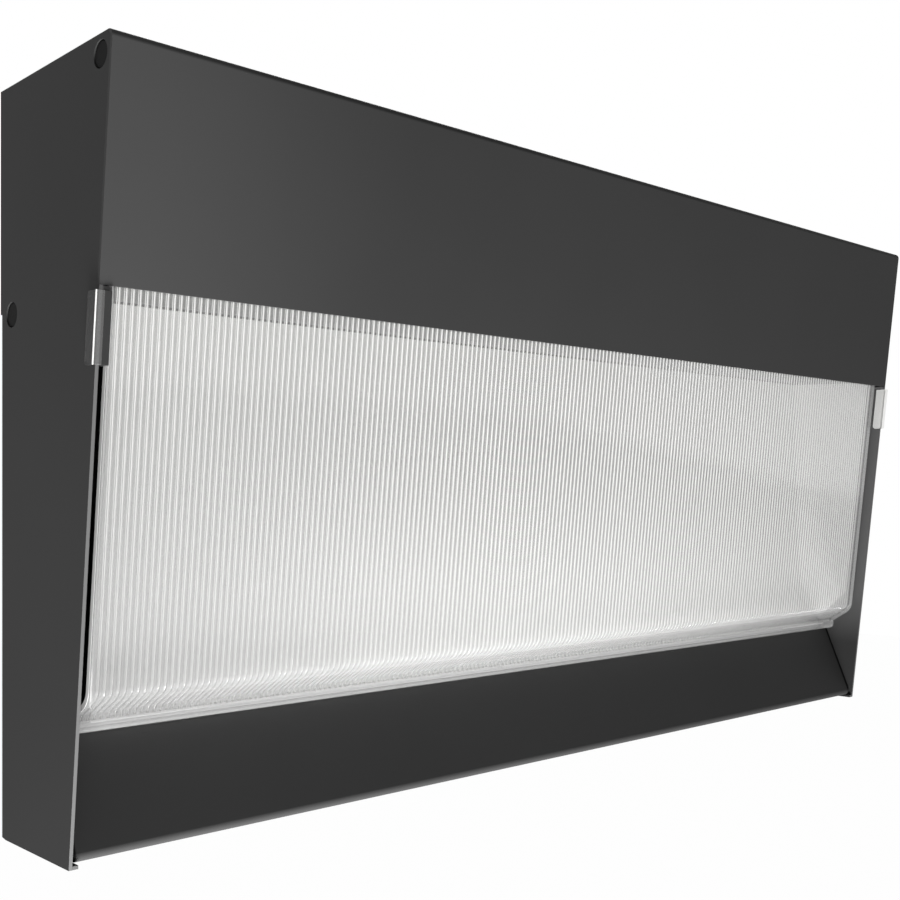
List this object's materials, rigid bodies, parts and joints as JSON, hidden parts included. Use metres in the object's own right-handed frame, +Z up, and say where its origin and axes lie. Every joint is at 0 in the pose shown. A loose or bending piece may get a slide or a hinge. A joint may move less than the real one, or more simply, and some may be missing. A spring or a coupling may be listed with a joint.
{
  "type": "wall pack light",
  "caption": "Long shallow wall pack light with a sloped folded-steel cover, blank upper fascia, ribbed clear lens and a cover hinged at its foot.",
  "frame": {"origin": "centre of the wall screw pattern, on the wall face", "axes": "+X to the right along the wall, -Y out of the wall, +Z up"},
  "size_m": [0.6138, 0.0996, 0.32],
  "materials": {
    "dark_powder_coat": "satin, fine even powder coat",
    "dark_inner_coat": "satin powder coat",
    "clear_polycarbonate": "clear, smooth outside, ribbed inside",
    "clear_clip_plastic": "clear, moulded",
    "white_enamel": "matt white, highly reflective",
    "bare_aluminium": "mill finish",
    "white_solder_mask": "gloss white",
    "phosphor_resin": "gloss yellow resin",
    "black_oxide_steel": "black oxide",
    "zinc_plated_steel": "bright zinc plate",
    "black_foam": "closed-cell foam",
    "black_rubber": "soft rubber",
    "driver_plastic": "light grey, potted plastic case",
    "terminal_plastic": "natural nylon",
    "brass": "plain brass",
    "surge_plastic": "black potted case",
    "green_zinc": "green lacquer over zinc"
  },
  "bodies": {
    "wall_unit": {"back_pan": "dark_inner_coat", "cable_grommet": "black_rubber", "driver_case": "driver_plastic", "driver_screws": "zinc_plated_steel", "earth_screw": "green_zinc", "hinge_bracket_left": "dark_inner_coat", "hinge_bracket_right": "dark_inner_coat", "hinge_pin_left": "zinc_plated_steel", "hinge_pin_right": "zinc_plated_steel", "pan_rail": "dark_inner_coat", "surge_protector": "surge_plastic", "terminal_block": "terminal_plastic", "terminal_screws": "brass", "top_seal": "black_foam"},
    "cover": {"cover_nuts": "zinc_plated_steel", "cover_screws": "black_oxide_steel", "fascia_cover": "dark_powder_coat", "hinge_leaf_left": "dark_inner_coat", "hinge_leaf_right": "dark_inner_coat", "lamp_board_left": "white_solder_mask", "lamp_board_middle": "white_solder_mask", "lamp_board_right": "white_solder_mask", "lamp_tray": "bare_aluminium", "lamps_left": "phosphor_resin", "lamps_middle": "phosphor_resin", "lamps_right": "phosphor_resin", "lens": "clear_polycarbonate", "lens_gasket": "black_foam", "lens_rail": "dark_inner_coat", "reflector": "white_enamel", "reflector_end_left": "white_enamel", "reflector_end_right": "white_enamel", "side_doubler_left": "dark_inner_coat", "side_doubler_right": "dark_inner_coat", "side_panel_left": "dark_powder_coat", "side_panel_right": "dark_powder_coat", "sill_panel": "dark_powder_coat", "top_nuts": "zinc_plated_steel", "top_screws": "black_oxide_steel", "tray_bracket_left": "zinc_plated_steel", "tray_bracket_right": "zinc_plated_steel", "tray_screws": "zinc_plated_steel"},
    "lens_clip_left": {"lens_clip_left": "clear_clip_plastic"},
    "lens_clip_right": {"lens_clip_right": "clear_clip_plastic"}
  },
  "joints": [
    {"name": "cover_hinge", "type": "hinge", "parent": "wall_unit", "child": "cover", "pos_m": [0, -0.008, -0.155], "axis": [1, 0, 0], "range_deg": [0, 90]},
    {"name": "clip_left_pull", "type": "slide", "parent": "cover", "child": "lens_clip_left", "axis": [0, -0.9937, -0.1118], "range_m": [0, 0.012]},
    {"name": "clip_right_pull", "type": "slide", "parent": "cover", "child": "lens_clip_right", "axis": [0, -0.9937, -0.1118], "range_m": [0, 0.012]}
  ]
}
